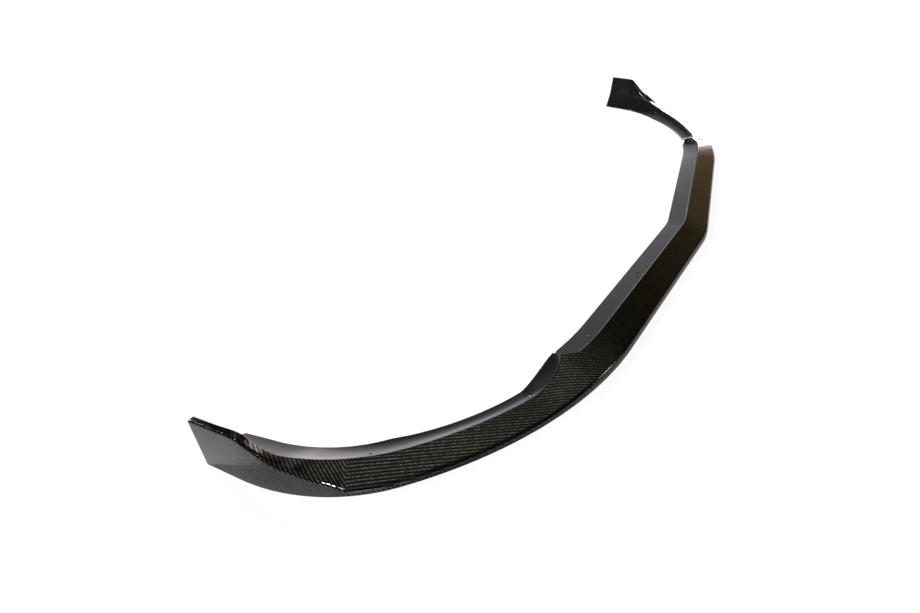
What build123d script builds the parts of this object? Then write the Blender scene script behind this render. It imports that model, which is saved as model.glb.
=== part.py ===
"""Front splitter lip: one moulded carbon laminate skin.

Millimetres. +X runs across the car, -Y is the nose, +Z is up. The lip lies on the plane z = 0,
with its origin under the middle of its bounding box.

A front edge drawn in plan carries every section. A section is a closed outline in the upright
plane square to that edge: its first number is the inset behind the edge, its second the height.
"""
import os
from cmath import phase, rect
from math import atan2, cos, pi, radians, sin, tan
from typing import NamedTuple

from build123d import *

# Front edge in plan, from the middle of the nose to the tail of the right-hand side
NOSE_RADIUS = 300.0
NOSE_SWEEP = radians(5.93)
NOSE_RUN = 411.2
SHOULDER_RADIUS = 686.0
SHOULDER_TURN = radians(36.65)
CORNER_RADIUS = 240.6
TAIL_RUN = 55.0

# Laminate
SKIN = 2.5
EDGE_ROUND = 6.5
CREST_ROUND = 2.5
CREST_STEP = 3.5
CREST_STEP_RUN = 2.5
UNDER_CREST_OUT = 0.4 * SKIN  # from the crest to the skin's inner corner below it
UNDER_CREST_DOWN = 1.2 * SKIN
ROUND_FACETS = 3
ROUND_LIMIT = 0.45  # most of a side that a round may take
COVE_FACETS = 4

# Middle section, between the two teeth
NOSE_EDGE_HEIGHT = 12.0
NOSE_FACE_DEPTH = 47.0
NOSE_CREST_HEIGHT = 28.0
NOSE_FLANGE_DEPTH = 81.5
NOSE_FLANGE_HEIGHT = 13.5

# Tooth, where the middle flange ends against the wing
NOSE_FLANGE_END = 538.5
FLANGE_CORNER_ROUND = 30.0
FLANGE_CORNER_FACETS = 4
TOOTH_RUN = 28.5
TOOTH_WALL_RUN = 7.0
TOOTH_FACE_DEPTH = 61.7
TOOTH_CREST_HEIGHT = 32.8
TOOTH_FLANGE_DEPTH = 76.0
TOOTH_FLANGE_HEIGHT = 23.2

# Wing, from the scoop behind the tooth to the foot of the fin
SCOOP_RUN = 90.0
SCOOP_FACE_EASE = 2.4
SCOOP_CREST_EASE = 1.5
WING_EDGE_HEIGHT = 10.0
WING_FACE_DEPTH = 39.6
WING_CREST_RISE = 6.0
WING_CREST_HEIGHT = 14.0
WING_FLANGE_DEPTH = 66.5
WING_FLANGE_GROWTH = 11.0
WING_FLANGE_EASE = 2.2
WING_FLANGE_HEIGHT = 0.3
WING_FLANGE_COVE = 2.5

# Fin, climbing to the tail
FIN_CLIMB_RUN = 255.0
FIN_HEIGHT = 81.5
FIN_LEAN_FRONT = 5.4
FIN_LEAN_TAIL = 8.6
FIN_LEAN_EASE = 3.0
FIN_RIM_INSET = 0.6
FIN_FOLD_HEIGHT = 32.0
FIN_WALL_DRAFT = 0.1
FIN_EDGE_ROUND = 2.0
TAIL_FLANGE_DEPTH = 59.6
TAIL_FLANGE_EASE = 2.2
TAIL_RAKE_IN = 0.12
TAIL_RAKE_UP = 0.04

# Share of the climb run, then the shares of the edge's climb, of the crest's climb and of the
# crest's move out to the rim
FIN_GROWTH = (
    (0.000, 0.000, 0.000, 0.000),
    (0.157, 0.000, 0.055, 0.043),
    (0.259, 0.000, 0.106, 0.121),
    (0.306, 0.095, 0.134, 0.167),
    (0.361, 0.220, 0.167, 0.226),
    (0.424, 0.320, 0.216, 0.310),
    (0.486, 0.434, 0.280, 0.411),
    (0.549, 0.520, 0.372, 0.545),
    (0.604, 0.650, 0.477, 0.669),
    (0.651, 0.800, 0.613, 0.738),
    (0.690, 0.900, 0.742, 0.790),
    (0.726, 0.985, 0.895, 0.823),
    (0.776, 1.000, 0.968, 0.874),
    (0.863, 1.000, 0.987, 0.944),
    (1.000, 1.000, 1.000, 1.000),
)
SCOOP_SHARES = (0.0, 0.14, 0.31, 0.53, 0.75, 0.9, 1.0)
WING_SHARES = (0.06, 0.2, 0.5, 0.8)

# Screw holes through the flange
SCREW_RADIUS = 2.5
NOSE_SCREW_AT = 253.0
NOSE_SCREW_BEHIND_CREST = 15.0
FLANGE_END_SCREW_MARGIN = 58.5
SCOOP_END_SCREW_MARGIN = 6.0
SCOOP_SCREW_BEHIND_CREST = 11.4
WING_SCREW_PAST_FOOT = 32.0
WING_SCREW_BEHIND_CREST = 10.9
TAIL_SCREW_MARGIN = 17.0
TAIL_SCREW_AHEAD_OF_FLANGE = 26.6

# Lengths and places that follow from the sizes above
NOSE_ARC = NOSE_RADIUS * NOSE_SWEEP
SHOULDER_ARC = SHOULDER_RADIUS * SHOULDER_TURN
CORNER_TURN = pi / 2 - NOSE_SWEEP - SHOULDER_TURN
CORNER_ARC = CORNER_RADIUS * CORNER_TURN
TAIL_END = NOSE_ARC + NOSE_RUN + SHOULDER_ARC + CORNER_ARC + TAIL_RUN
FLANGE_END_TURN = atan2(TOOTH_FACE_DEPTH - NOSE_FACE_DEPTH, TOOTH_RUN)
FLANGE_CORNER_AT = NOSE_FLANGE_END - FLANGE_CORNER_ROUND * tan(FLANGE_END_TURN / 2)
TOOTH_AT = NOSE_FLANGE_END + TOOTH_RUN
SCOOP_END = TOOTH_AT + SCOOP_RUN
CLIMB_START = TAIL_END - FIN_CLIMB_RUN

# Each screw's distance along the front edge and its inset behind it
SCREWS = {
    "nose": (NOSE_SCREW_AT, NOSE_FACE_DEPTH + NOSE_SCREW_BEHIND_CREST),
    "flange_end": (
        NOSE_FLANGE_END - FLANGE_END_SCREW_MARGIN, NOSE_FACE_DEPTH + NOSE_SCREW_BEHIND_CREST,
    ),
    "scoop": (SCOOP_END - SCOOP_END_SCREW_MARGIN, WING_FACE_DEPTH + SCOOP_SCREW_BEHIND_CREST),
    "wing": (CLIMB_START + WING_SCREW_PAST_FOOT, WING_FACE_DEPTH + WING_SCREW_BEHIND_CREST),
    "tail": (TAIL_END - TAIL_SCREW_MARGIN, TAIL_FLANGE_DEPTH - TAIL_SCREW_AHEAD_OF_FLANGE),
}


def edge_runs():
    """The front edge's runs as (length, radius or None, first heading)."""
    shoulder_end = NOSE_SWEEP + SHOULDER_TURN
    return (
        (NOSE_ARC, NOSE_RADIUS, 0.0),
        (NOSE_RUN, None, NOSE_SWEEP),
        (SHOULDER_ARC, SHOULDER_RADIUS, NOSE_SWEEP),
        (CORNER_ARC, CORNER_RADIUS, shoulder_end),
        (TAIL_RUN, None, pi / 2),
    )


def edge_point(along):
    """Plan point and heading of the front edge, with the nose at y = 0."""
    x, y, heading = 0.0, 0.0, 0.0
    for length, radius, start in edge_runs():
        step = min(along, length)
        if radius is None:
            heading = start
            x += step * cos(start)
            y += step * sin(start)
        else:
            heading = start + step / radius
            x += radius * (sin(heading) - sin(start))
            y += radius * (cos(start) - cos(heading))
        along -= step
        if along <= 0:
            break
    return x, y, heading


DEPTH = edge_point(TAIL_END)[1]
NOSE_Y = -DEPTH / 2


def place(along, inset, height):
    """The point at an inset behind the front edge and a height above the floor.

    Along the straight tail the sections lean forward more and more, up to the raked end.
    """
    raked = max(0.0, 1 - (TAIL_END - along) / TAIL_RUN)
    along -= raked * (TAIL_RAKE_IN * inset + TAIL_RAKE_UP * height)
    x, y, heading = edge_point(along)
    return x - inset * sin(heading), y + inset * cos(heading) + NOSE_Y, height


def rounded_corner(before, corner, after, radius):
    """Points of the arc that rounds a corner, no longer than its two sides allow."""
    tip = complex(*corner)
    side_in = complex(*before) - tip
    side_out = complex(*after) - tip
    shorter = min(abs(side_in), abs(side_out))
    side_in /= abs(side_in)
    side_out /= abs(side_out)
    half_angle = abs(phase(side_out / side_in)) / 2
    reach = min(radius / tan(half_angle), ROUND_LIMIT * shorter)
    bisector = (side_in + side_out) / abs(side_in + side_out)
    centre = tip + bisector * reach / cos(half_angle)
    arm = tip + side_in * reach - centre
    turn = phase((tip + side_out * reach - centre) / arm)
    points = []
    for step in range(ROUND_FACETS + 1):
        point = centre + arm * rect(1, turn * step / ROUND_FACETS)
        points.append((point.real, point.imag))
    return points


class Sizes(NamedTuple):
    """Sizes of one section: heights above the floor, and insets behind the front edge."""

    edge: float
    lean: float  # how far the edge stands out over its foot
    edge_round: float  # radius between the front wall and the face
    crest_in: float
    crest: float
    step_run: float  # how far the wall behind the crest slopes inwards
    fold: float  # height at which the wall behind the crest meets the flange
    flange_in: float
    flange: float
    cove: float  # depth of the flange's hollow


def outline(size):
    """Closed section: up the front edge, over the face and flange, and back along the underside."""
    fold_in = size.crest_in + size.step_run
    slope = (size.fold - SKIN - size.flange) / (size.flange_in - fold_in)
    drop = SKIN * (1 + slope * slope) ** 0.5
    roof = min(size.edge - SKIN, size.fold - drop)
    roof_in = SKIN - size.lean * roof / size.edge
    bottom = (0, 0)
    lip = (-size.lean, size.edge)
    top = (size.crest_in, size.crest)
    shelf = (fold_in, size.fold)
    flange_top = [
        shelf,
        *hollow(shelf, (size.flange_in, size.flange + drop), size.cove),
        (size.flange_in, size.flange + drop),
    ]
    flange_underside = [(inset, height - drop) for inset, height in reversed(flange_top)]
    under_crest = (
        fold_in - CREST_STEP_RUN - UNDER_CREST_OUT, size.fold + CREST_STEP - UNDER_CREST_DOWN,
    )
    return [
        *flange_underside,
        under_crest,
        (roof_in, roof),
        (SKIN, 0),
        bottom,
        *rounded_corner(bottom, lip, top, size.edge_round),
        *rounded_corner(lip, top, shelf, CREST_ROUND),
        *flange_top,
    ]


def hollow(start, stop, depth):
    """Points between two ends that sag below the line joining them."""
    points = []
    for step in range(1, COVE_FACETS):
        share = step / COVE_FACETS
        inset = start[0] + (stop[0] - start[0]) * share
        height = start[1] + (stop[1] - start[1]) * share
        points.append((inset, height - 4 * depth * share * (1 - share)))
    return points


def section(along, size):
    """A section's corners at its place along the front edge."""
    return [place(along, inset, height) for inset, height in outline(size)]


def flat_face(corners):
    return Face(Wire.make_polygon(corners))


def faces_between(rails):
    """Faces ruled between each rail and the next, all the way round the section."""
    faces = []
    for rail, neighbour in zip(rails, rails[1:] + rails[:1]):
        faces.append(Face.make_surface_from_curves(rail, neighbour))
    return faces


def recess_sizes(crest_in, flange_in):
    """Section on the two planes of the middle section, its face and its recessed flange."""
    face_slope = (NOSE_CREST_HEIGHT - NOSE_EDGE_HEIGHT) / NOSE_FACE_DEPTH
    fold = NOSE_CREST_HEIGHT - CREST_STEP
    flange_run = NOSE_FLANGE_DEPTH - NOSE_FACE_DEPTH - CREST_STEP_RUN
    flange_slope = (fold - SKIN - NOSE_FLANGE_HEIGHT) / flange_run
    return Sizes(
        edge=NOSE_EDGE_HEIGHT,
        lean=0,
        edge_round=EDGE_ROUND,
        crest_in=crest_in,
        crest=NOSE_EDGE_HEIGHT + face_slope * crest_in,
        step_run=CREST_STEP_RUN,
        fold=fold - flange_slope * (crest_in - NOSE_FACE_DEPTH),
        flange_in=flange_in,
        flange=NOSE_FLANGE_HEIGHT + flange_slope * (NOSE_FLANGE_DEPTH - flange_in),
        cove=0,
    )


def nose_sizes():
    return recess_sizes(NOSE_FACE_DEPTH, NOSE_FLANGE_DEPTH)


def scoop_sizes(share):
    """Section behind the tooth: the crest drops and moves forward as the flange falls away."""
    left = 1 - share
    fall = share * share * (3 - 2 * share)
    crest = WING_CREST_HEIGHT + (TOOTH_CREST_HEIGHT - WING_CREST_HEIGHT) * left ** SCOOP_CREST_EASE
    return Sizes(
        edge=NOSE_EDGE_HEIGHT + (WING_EDGE_HEIGHT - NOSE_EDGE_HEIGHT) * share,
        lean=0,
        edge_round=EDGE_ROUND,
        crest_in=WING_FACE_DEPTH + (TOOTH_FACE_DEPTH - WING_FACE_DEPTH) * left ** SCOOP_FACE_EASE,
        crest=crest,
        step_run=CREST_STEP_RUN,
        fold=crest - CREST_STEP,
        flange_in=TOOTH_FLANGE_DEPTH + (WING_FLANGE_DEPTH - TOOTH_FLANGE_DEPTH) * share,
        flange=TOOTH_FLANGE_HEIGHT + (WING_FLANGE_HEIGHT - TOOTH_FLANGE_HEIGHT) * fall,
        cove=WING_FLANGE_COVE * share,
    )


def wing_sizes(share):
    """Section of the plain wing: its flange widens and its crest rises slowly."""
    crest = WING_CREST_HEIGHT + WING_CREST_RISE * share
    return Sizes(
        edge=WING_EDGE_HEIGHT,
        lean=0,
        edge_round=EDGE_ROUND,
        crest_in=WING_FACE_DEPTH,
        crest=crest,
        step_run=CREST_STEP_RUN,
        fold=crest - CREST_STEP,
        flange_in=WING_FLANGE_DEPTH + WING_FLANGE_GROWTH * share ** WING_FLANGE_EASE,
        flange=WING_FLANGE_HEIGHT,
        cove=WING_FLANGE_COVE,
    )


def fin_sizes(run, edge_share, crest_share, rim_share):
    """Section where the face narrows to a rim and climbs to the top of the fin."""
    lean = FIN_LEAN_FRONT + (FIN_LEAN_TAIL - FIN_LEAN_FRONT) * run ** FIN_LEAN_EASE
    foot = WING_CREST_HEIGHT + WING_CREST_RISE
    crest = foot + (FIN_HEIGHT - foot) * crest_share
    fold = min(crest - CREST_STEP, FIN_FOLD_HEIGHT)
    widest = WING_FLANGE_DEPTH + WING_FLANGE_GROWTH
    return Sizes(
        edge=WING_EDGE_HEIGHT + (FIN_HEIGHT - WING_EDGE_HEIGHT) * edge_share,
        lean=lean * edge_share,
        edge_round=EDGE_ROUND + (FIN_EDGE_ROUND - EDGE_ROUND) * edge_share,
        crest_in=WING_FACE_DEPTH + (FIN_RIM_INSET - WING_FACE_DEPTH) * rim_share,
        crest=crest,
        step_run=CREST_STEP_RUN + FIN_WALL_DRAFT * (crest - CREST_STEP - fold),
        fold=fold,
        flange_in=widest + (TAIL_FLANGE_DEPTH - widest) * run ** TAIL_FLANGE_EASE,
        flange=WING_FLANGE_HEIGHT,
        cove=WING_FLANGE_COVE,
    )


def nose_faces():
    """Constant section carried from the middle of the nose to the rounded end of its flange."""
    faces = []
    start = 0.0
    for length, radius, _ in edge_runs():
        stop = min(start + length, FLANGE_CORNER_AT)
        stations = [section(along, nose_sizes()) for along in (start, (start + stop) / 2, stop)]
        rails = []
        for first, middle, last in zip(*stations):
            if radius is None:
                rails.append(Edge.make_line(first, last))
            else:
                rails.append(Edge.make_three_point_arc(first, middle, last))
        faces += faces_between(rails)
        start = stop
        if start >= FLANGE_CORNER_AT:
            break
    return faces


def tooth_faces():
    """Rounded oblique end of the recessed flange, and the wall that climbs from it to the tooth."""
    stations = []
    for facet in range(FLANGE_CORNER_FACETS + 1):
        turn = FLANGE_END_TURN * facet / FLANGE_CORNER_FACETS
        along = FLANGE_CORNER_AT + FLANGE_CORNER_ROUND * sin(turn)
        crest_in = NOSE_FACE_DEPTH + FLANGE_CORNER_ROUND * (1 - cos(turn))
        stations.append(section(along, recess_sizes(crest_in, NOSE_FLANGE_DEPTH)))
    share = 1 - TOOTH_WALL_RUN / TOOTH_RUN
    foot = recess_sizes(
        NOSE_FACE_DEPTH + (TOOTH_FACE_DEPTH - NOSE_FACE_DEPTH) * share,
        NOSE_FLANGE_DEPTH + (TOOTH_FLANGE_DEPTH - NOSE_FLANGE_DEPTH) * share,
    )
    stations.append(section(TOOTH_AT - TOOTH_WALL_RUN, foot))
    stations.append(section(TOOTH_AT, scoop_sizes(0.0)))
    faces = []
    for ends in zip(stations, stations[1:]):
        faces += faces_between([Edge.make_line(*corners) for corners in zip(*ends)])
    return faces


def wing_faces():
    """Scoop, wing and fin, on smooth rails through their sections."""
    stations = []
    places = []
    for share in SCOOP_SHARES:
        places.append(TOOTH_AT + SCOOP_RUN * share)
        stations.append(section(places[-1], scoop_sizes(share)))
    for share in WING_SHARES:
        places.append(SCOOP_END + (CLIMB_START - SCOOP_END) * share)
        stations.append(section(places[-1], wing_sizes(share)))
    for row in FIN_GROWTH:
        places.append(CLIMB_START + FIN_CLIMB_RUN * row[0])
        stations.append(section(places[-1], fin_sizes(*row)))
    rails = [Edge.make_spline(list(corners), parameters=places) for corners in zip(*stations)]
    return [*faces_between(rails), flat_face(stations[-1])]


def screw_holes():
    """Upright drills at each screw place, on both sides."""
    drills = []
    for along, inset in SCREWS.values():
        x, y, _ = place(along, inset, 0)
        for side in (-1, 1):
            drill = Cylinder(SCREW_RADIUS, 2 * FIN_HEIGHT)
            drills.append(Pos(side * x, y, 0) * drill)
    return drills


def splitter_lip():
    middle = flat_face(section(0, nose_sizes()))
    half = Solid(Shell([middle, *nose_faces(), *tooth_faces(), *wing_faces()]))
    return half + mirror(half, about=Plane.YZ) - screw_holes()


os.makedirs("parts", exist_ok=True)
lip = splitter_lip()
export_step(lip, "parts/splitter_lip.step")
box = lip.bounding_box()
print("size", box.size, "low", box.min, "solids", len(lip.solids()), "valid", lip.is_valid)
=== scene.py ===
"""Looks of a front splitter lip: clear-coated twill carbon with a satin screw flange."""
from cmath import phase, rect
from math import atan2, ceil, cos, pi, radians, sin, tan
from typing import NamedTuple

import bpy
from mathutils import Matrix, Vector


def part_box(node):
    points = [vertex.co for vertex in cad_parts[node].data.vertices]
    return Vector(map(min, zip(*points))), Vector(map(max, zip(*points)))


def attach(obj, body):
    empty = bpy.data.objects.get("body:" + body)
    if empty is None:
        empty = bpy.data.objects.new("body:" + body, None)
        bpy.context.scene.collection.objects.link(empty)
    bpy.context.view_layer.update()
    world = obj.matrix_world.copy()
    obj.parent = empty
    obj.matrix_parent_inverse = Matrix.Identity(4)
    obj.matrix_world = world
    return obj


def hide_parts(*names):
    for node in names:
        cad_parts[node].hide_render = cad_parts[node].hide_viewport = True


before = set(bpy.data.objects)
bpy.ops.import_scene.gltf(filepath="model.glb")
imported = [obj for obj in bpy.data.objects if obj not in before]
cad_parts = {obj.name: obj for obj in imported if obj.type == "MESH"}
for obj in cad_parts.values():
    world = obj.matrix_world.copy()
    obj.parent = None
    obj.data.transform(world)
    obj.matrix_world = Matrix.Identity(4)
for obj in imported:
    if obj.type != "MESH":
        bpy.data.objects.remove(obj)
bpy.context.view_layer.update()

MM = 0.001

# Front edge in plan, in millimetres, from the middle of the nose to the right-hand tail
NOSE_RADIUS = 300.0
NOSE_SWEEP = radians(5.93)
NOSE_RUN = 411.2
SHOULDER_RADIUS = 686.0
SHOULDER_TURN = radians(36.65)
CORNER_RADIUS = 240.6
TAIL_RUN = 55.0

# Laminate, in millimetres
SKIN = 2.5
EDGE_ROUND = 6.5
CREST_ROUND = 2.5
CREST_STEP = 3.5
CREST_STEP_RUN = 2.5
UNDER_CREST_OUT = 0.4 * SKIN
UNDER_CREST_DOWN = 1.2 * SKIN
INNER_ROUND = 1.5
SHEET_ROUND = 0.6
ROUND_LIMIT = 0.45
ROUND_FACETS = 6
PANEL_SHARES = (0.03, 0.18, 0.34, 0.5, 0.66, 0.82, 0.97)

# Middle section, tooth, wing and fin, in millimetres
NOSE_EDGE_HEIGHT = 12.0
NOSE_FACE_DEPTH = 47.0
NOSE_CREST_HEIGHT = 28.0
NOSE_FLANGE_DEPTH = 81.5
NOSE_FLANGE_HEIGHT = 13.5
NOSE_FLANGE_END = 538.5
FLANGE_CORNER_ROUND = 30.0
TOOTH_RUN = 28.5
TOOTH_WALL_RUN = 7.0
TOOTH_ROUND = 0.5
TOOTH_FACE_DEPTH = 61.7
TOOTH_CREST_HEIGHT = 32.8
TOOTH_FLANGE_DEPTH = 76.0
TOOTH_FLANGE_HEIGHT = 23.2
SCOOP_RUN = 90.0
SCOOP_FACE_EASE = 2.4
SCOOP_CREST_EASE = 1.5
WING_EDGE_HEIGHT = 10.0
WING_FACE_DEPTH = 39.6
WING_CREST_RISE = 6.0
WING_CREST_HEIGHT = 14.0
WING_FLANGE_DEPTH = 66.5
WING_FLANGE_GROWTH = 11.0
WING_FLANGE_EASE = 2.2
WING_FLANGE_HEIGHT = 0.3
WING_FLANGE_COVE = 2.5
FIN_CLIMB_RUN = 255.0
FIN_HEIGHT = 81.5
FIN_LEAN_FRONT = 5.4
FIN_LEAN_TAIL = 8.6
FIN_LEAN_EASE = 3.0
FIN_RIM_INSET = 0.6
FIN_FOLD_HEIGHT = 32.0
FIN_WALL_DRAFT = 0.1
FIN_EDGE_ROUND = 2.0
TAIL_FLANGE_DEPTH = 59.6
TAIL_FLANGE_EASE = 2.2
TAIL_RAKE_IN = 0.12
TAIL_RAKE_UP = 0.04

# Shares of the climb run at which the crease lies, where the edge starts to climb, and from which
# the rim gets the dimmer twill, painted shade that makes it look plain black
FIN_CREASE_SHARE = 0.259
SHADED_RIM_SHARE = 0.7

# Share of the climb run, then the shares of the edge's climb, of the crest's climb and of the
# crest's move out to the rim
FIN_GROWTH = (
    (0.000, 0.000, 0.000, 0.000),
    (0.157, 0.000, 0.055, 0.043),
    (FIN_CREASE_SHARE, 0.000, 0.106, 0.121),
    (0.306, 0.095, 0.134, 0.167),
    (0.361, 0.220, 0.167, 0.226),
    (0.424, 0.320, 0.216, 0.310),
    (0.486, 0.434, 0.280, 0.411),
    (0.549, 0.520, 0.372, 0.545),
    (0.604, 0.650, 0.477, 0.669),
    (0.651, 0.800, 0.613, 0.738),
    (0.690, 0.900, 0.742, 0.790),
    (0.726, 0.985, 0.895, 0.823),
    (0.776, 1.000, 0.968, 0.874),
    (0.863, 1.000, 0.987, 0.944),
    (1.000, 1.000, 1.000, 1.000),
)
SCOOP_SHARES = (0.0, 0.14, 0.31, 0.53, 0.75, 0.9, 1.0)
WING_SHARES = (0.06, 0.2, 0.5, 0.8)

# Lengths and places that follow from the sizes above
NOSE_ARC = NOSE_RADIUS * NOSE_SWEEP
SHOULDER_ARC = SHOULDER_RADIUS * SHOULDER_TURN
CORNER_TURN = pi / 2 - NOSE_SWEEP - SHOULDER_TURN
CORNER_ARC = CORNER_RADIUS * CORNER_TURN
TAIL_END = NOSE_ARC + NOSE_RUN + SHOULDER_ARC + CORNER_ARC + TAIL_RUN
FLANGE_END_TURN = atan2(TOOTH_FACE_DEPTH - NOSE_FACE_DEPTH, TOOTH_RUN)
FLANGE_CORNER_AT = NOSE_FLANGE_END - FLANGE_CORNER_ROUND * tan(FLANGE_END_TURN / 2)
FLANGE_CORNER_END = FLANGE_CORNER_AT + FLANGE_CORNER_ROUND * sin(FLANGE_END_TURN)
TOOTH_AT = NOSE_FLANGE_END + TOOTH_RUN
WALL_FOOT = TOOTH_AT - TOOTH_WALL_RUN
SCOOP_END = TOOTH_AT + SCOOP_RUN
CLIMB_START = TAIL_END - FIN_CLIMB_RUN

# Where the fin's own piece of cloth starts, at the crease, and where the rim's painted shade starts
FIN_CLOTH_FROM = CLIMB_START + FIN_CLIMB_RUN * FIN_CREASE_SHARE
SHADED_RIM_FROM = CLIMB_START + FIN_CLIMB_RUN * SHADED_RIM_SHARE

# Mesh: spacing of its rows along the lip, rounding of the tail's cut end, and the distance within
# which the halves join, in millimetres; then counts of steps, and the angle that shows as a crease
NOSE_ROW = 6.0
CORNER_ROW = 2.0
ROUND_ROW = 0.2
WING_ROW = 5.0
FIN_ROW = 3.0
TAIL_ROUND = 0.7
MERGE_DISTANCE = 0.01
EASE_STEPS = 6
TAIL_ROUND_STEPS = 3
EDGE_STEPS = 512
SCREW_FACETS = 24
CREASE_ANGLE = radians(24)

# Screw holes, in millimetres
SCREW_RADIUS = 2.5
NOSE_SCREW_AT = 253.0
NOSE_SCREW_INSET = 62.0
FLANGE_END_SCREW_MARGIN = 58.5
SCOOP_END_SCREW_MARGIN = 6.0
SCOOP_SCREW_INSET = 51.0
WING_SCREW_PAST_FOOT = 32.0
WING_SCREW_INSET = 50.5
TAIL_SCREW_MARGIN = 17.0
TAIL_SCREW_INSET = 33.0

# Each screw's distance along the front edge and its inset behind it
SCREWS = (
    (NOSE_SCREW_AT, NOSE_SCREW_INSET),
    (NOSE_FLANGE_END - FLANGE_END_SCREW_MARGIN, NOSE_SCREW_INSET),
    (SCOOP_END - SCOOP_END_SCREW_MARGIN, SCOOP_SCREW_INSET),
    (CLIMB_START + WING_SCREW_PAST_FOOT, WING_SCREW_INSET),
    (TAIL_END - TAIL_SCREW_MARGIN, TAIL_SCREW_INSET),
)

# Twill cloth: its tows, how many of them each passes over and after how many the weave repeats,
# the plan direction of its rows, and its turn on the front wall
TOW_WIDTH = 1.6 * MM
TOWS_OVER = 2.0
TOWS_REPEAT = 4.0
ROW_DIRECTION = rect(1, radians(-53.2))
WALL_TURN = radians(3)

# One tow: how steeply it rises along its run, how flat it is across, its relief and its roughness
TOW_RISE = 0.6
TOW_CROWN = 0.5
TOW_RELIEF = 0.12 * MM
TOW_BUMP = 0.2
TOW_ROUGHNESS = 0.15

# Glints of the tows that lie on top, the dark between them, the clear coat over both, and how the
# glint differs from tow to tow; the wall's copy has dimmer glints, painted shade, and a thinner
# coat
FACE_FLOAT = (0.60, 0.58, 0.50, 1)
FACE_GAP = (0.009, 0.009, 0.008, 1)
SHADED_WALL_FLOAT = (0.16, 0.157, 0.153, 1)
WALL_GAP = (0.010, 0.010, 0.010, 1)
FACE_COAT = 1.0
WALL_COAT = 0.36
COAT_ROUGHNESS = 0.03
COAT_IOR = 1.45
FLOAT_LEAST = 0.38
FLOAT_SPREAD = 0.75
FLOAT_CHANCE = 1.5
FLOAT_SHARPNESS = 1.3

# Stretches of the wall, in metres behind the lip's middle, over which its painted glints come and
# go, and the strength of the painted glints at the ends of each
SHEEN_COMES = (-0.03, 0.04)
SHEEN_RISE = (0.5, 3.0)
SHEEN_GOES = (0.09, 0.185)
SHEEN_FALL = (1.0, 0.1)

# Satin grey, with its fine grain and faint clouds
SATIN_DARK = (0.004, 0.0038, 0.0043, 1)
SATIN_PALE = (0.008, 0.0075, 0.0085, 1)
SATIN_IOR = 1.6
SATIN_ROUGHNESS = 0.14
CLOUD_ROUGHNESS = 0.06
GRAIN_SCALE = 900.0
GRAIN_DETAIL = 2.0
GRAIN_SHARE = 0.3
GRAIN_BUMP = 0.12
GRAIN_RELIEF = 0.05 * MM
CLOUD_SCALE = 14.0
CLOUD_DETAIL = 3.0
CLOUD_SHARE = 0.7

# Studio: floor, and the surroundings by degrees above the horizon
FLOOR_HALF = 30.0
FLOOR_DROP = 0.1 * MM
FLOOR_COLOUR = (0.8, 0.8, 0.8, 1)
FLOOR_GLOW = 0.93
FULL_GLOW = 1.0
GLOW_REACH = (1.0, 1.5)
FLOOR_SHADE = (0.12, 0.12, 0.12, 1)
GLOSS_FLOOR_GLOW = 0.19
GLOSS_FLOOR_SHADE = (0.65, 0.61, 0.65, 1)
GLOSS_TINT = (1, 0.94, 1, 1)
WHITE = (1, 1, 1, 1)
RIGHT_SKY = (
    (0, (1.0, 1.0, 1.0)),
    (6.6, (0.9, 0.88, 0.85)),
    (7.6, (0.19, 0.114, 0.052)),
    (13, (0.137, 0.081, 0.034)),
    (16, (0.104, 0.074, 0.029)),
    (27, (0.064, 0.045, 0.027)),
    (32, (0.030, 0.025, 0.014)),
    (37, (0.024, 0.023, 0.017)),
    (46, (0.13, 0.127, 0.11)),
    (60, (0.21, 0.207, 0.19)),
    (90, (0.21, 0.207, 0.19)),
)
LEFT_SKY = (
    (0, (1.0, 1.0, 1.0)),
    (5, (1.0, 0.98, 1.0)),
    (12, (0.60, 0.56, 0.60)),
    (18, (0.52, 0.485, 0.52)),
    (28, (0.42, 0.40, 0.42)),
    (38, (0.34, 0.33, 0.34)),
    (44, (0.10, 0.10, 0.10)),
    (54, (0.04, 0.04, 0.04)),
    (64, (0.09, 0.09, 0.085)),
    (90, (0.21, 0.207, 0.19)),
)
REAR_SKY = (
    (0, (1.0, 0.97, 1.0)),
    (5, (0.78, 0.75, 0.78)),
    (10, (0.58, 0.545, 0.58)),
    (18, (0.40, 0.375, 0.40)),
    (26, (0.07, 0.068, 0.07)),
    (50, (0.075, 0.072, 0.075)),
    (62, (0.04, 0.04, 0.04)),
    (75, (0.12, 0.12, 0.115)),
    (90, (0.21, 0.207, 0.19)),
)
BACK_SKY = (
    (0, (0.05, 0.05, 0.05)),
    (40, (0.12, 0.12, 0.12)),
    (90, (0.21, 0.207, 0.19)),
)

# Directions, as parts of a unit vector, over which one side of the surroundings turns into another
LEFT_FROM_Y = (0.05, 0.3)
REAR_FROM_Y = (0.38, 0.5)
BACK_FROM_X = (0.15, -0.35)

# What the lamps light, in metres; the floor behind the near wing is mirrored in the wing's flange
MIDDLE = (0, 0, 0)
NEAR_WING = (-0.6, 0, 0)
NEAR_RIM = (-0.9, 0.2, 0.08)
FAR_WING = (0.65, -0.06, 0.02)
FIN_ROOT = Vector((-0.885, 0.062, 0.02))
FLOOR_BEHIND_WING = ((-0.76, 0.17, 0), (-0.63, 0.0, 0))

# Directions of the lamps that glint on the fin's root, in degrees, the place of the far wing's
# lamp, and how softly the cones of the narrow lamps end
ROOT_AZIMUTHS = (-116, -106, -96)
FAR_STRIP_PLACE = (1.75, 0.035, 0.17)
SPOT_BLEND = 0.5

# Camera of the photo, in metres
EYE = Vector((-1.2374, -0.28622, 0.577))
LOOK = Vector((0.7447, 0.3765, -0.5511))
LENS = 24.03
SENSOR_WIDTH = 36.0


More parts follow.
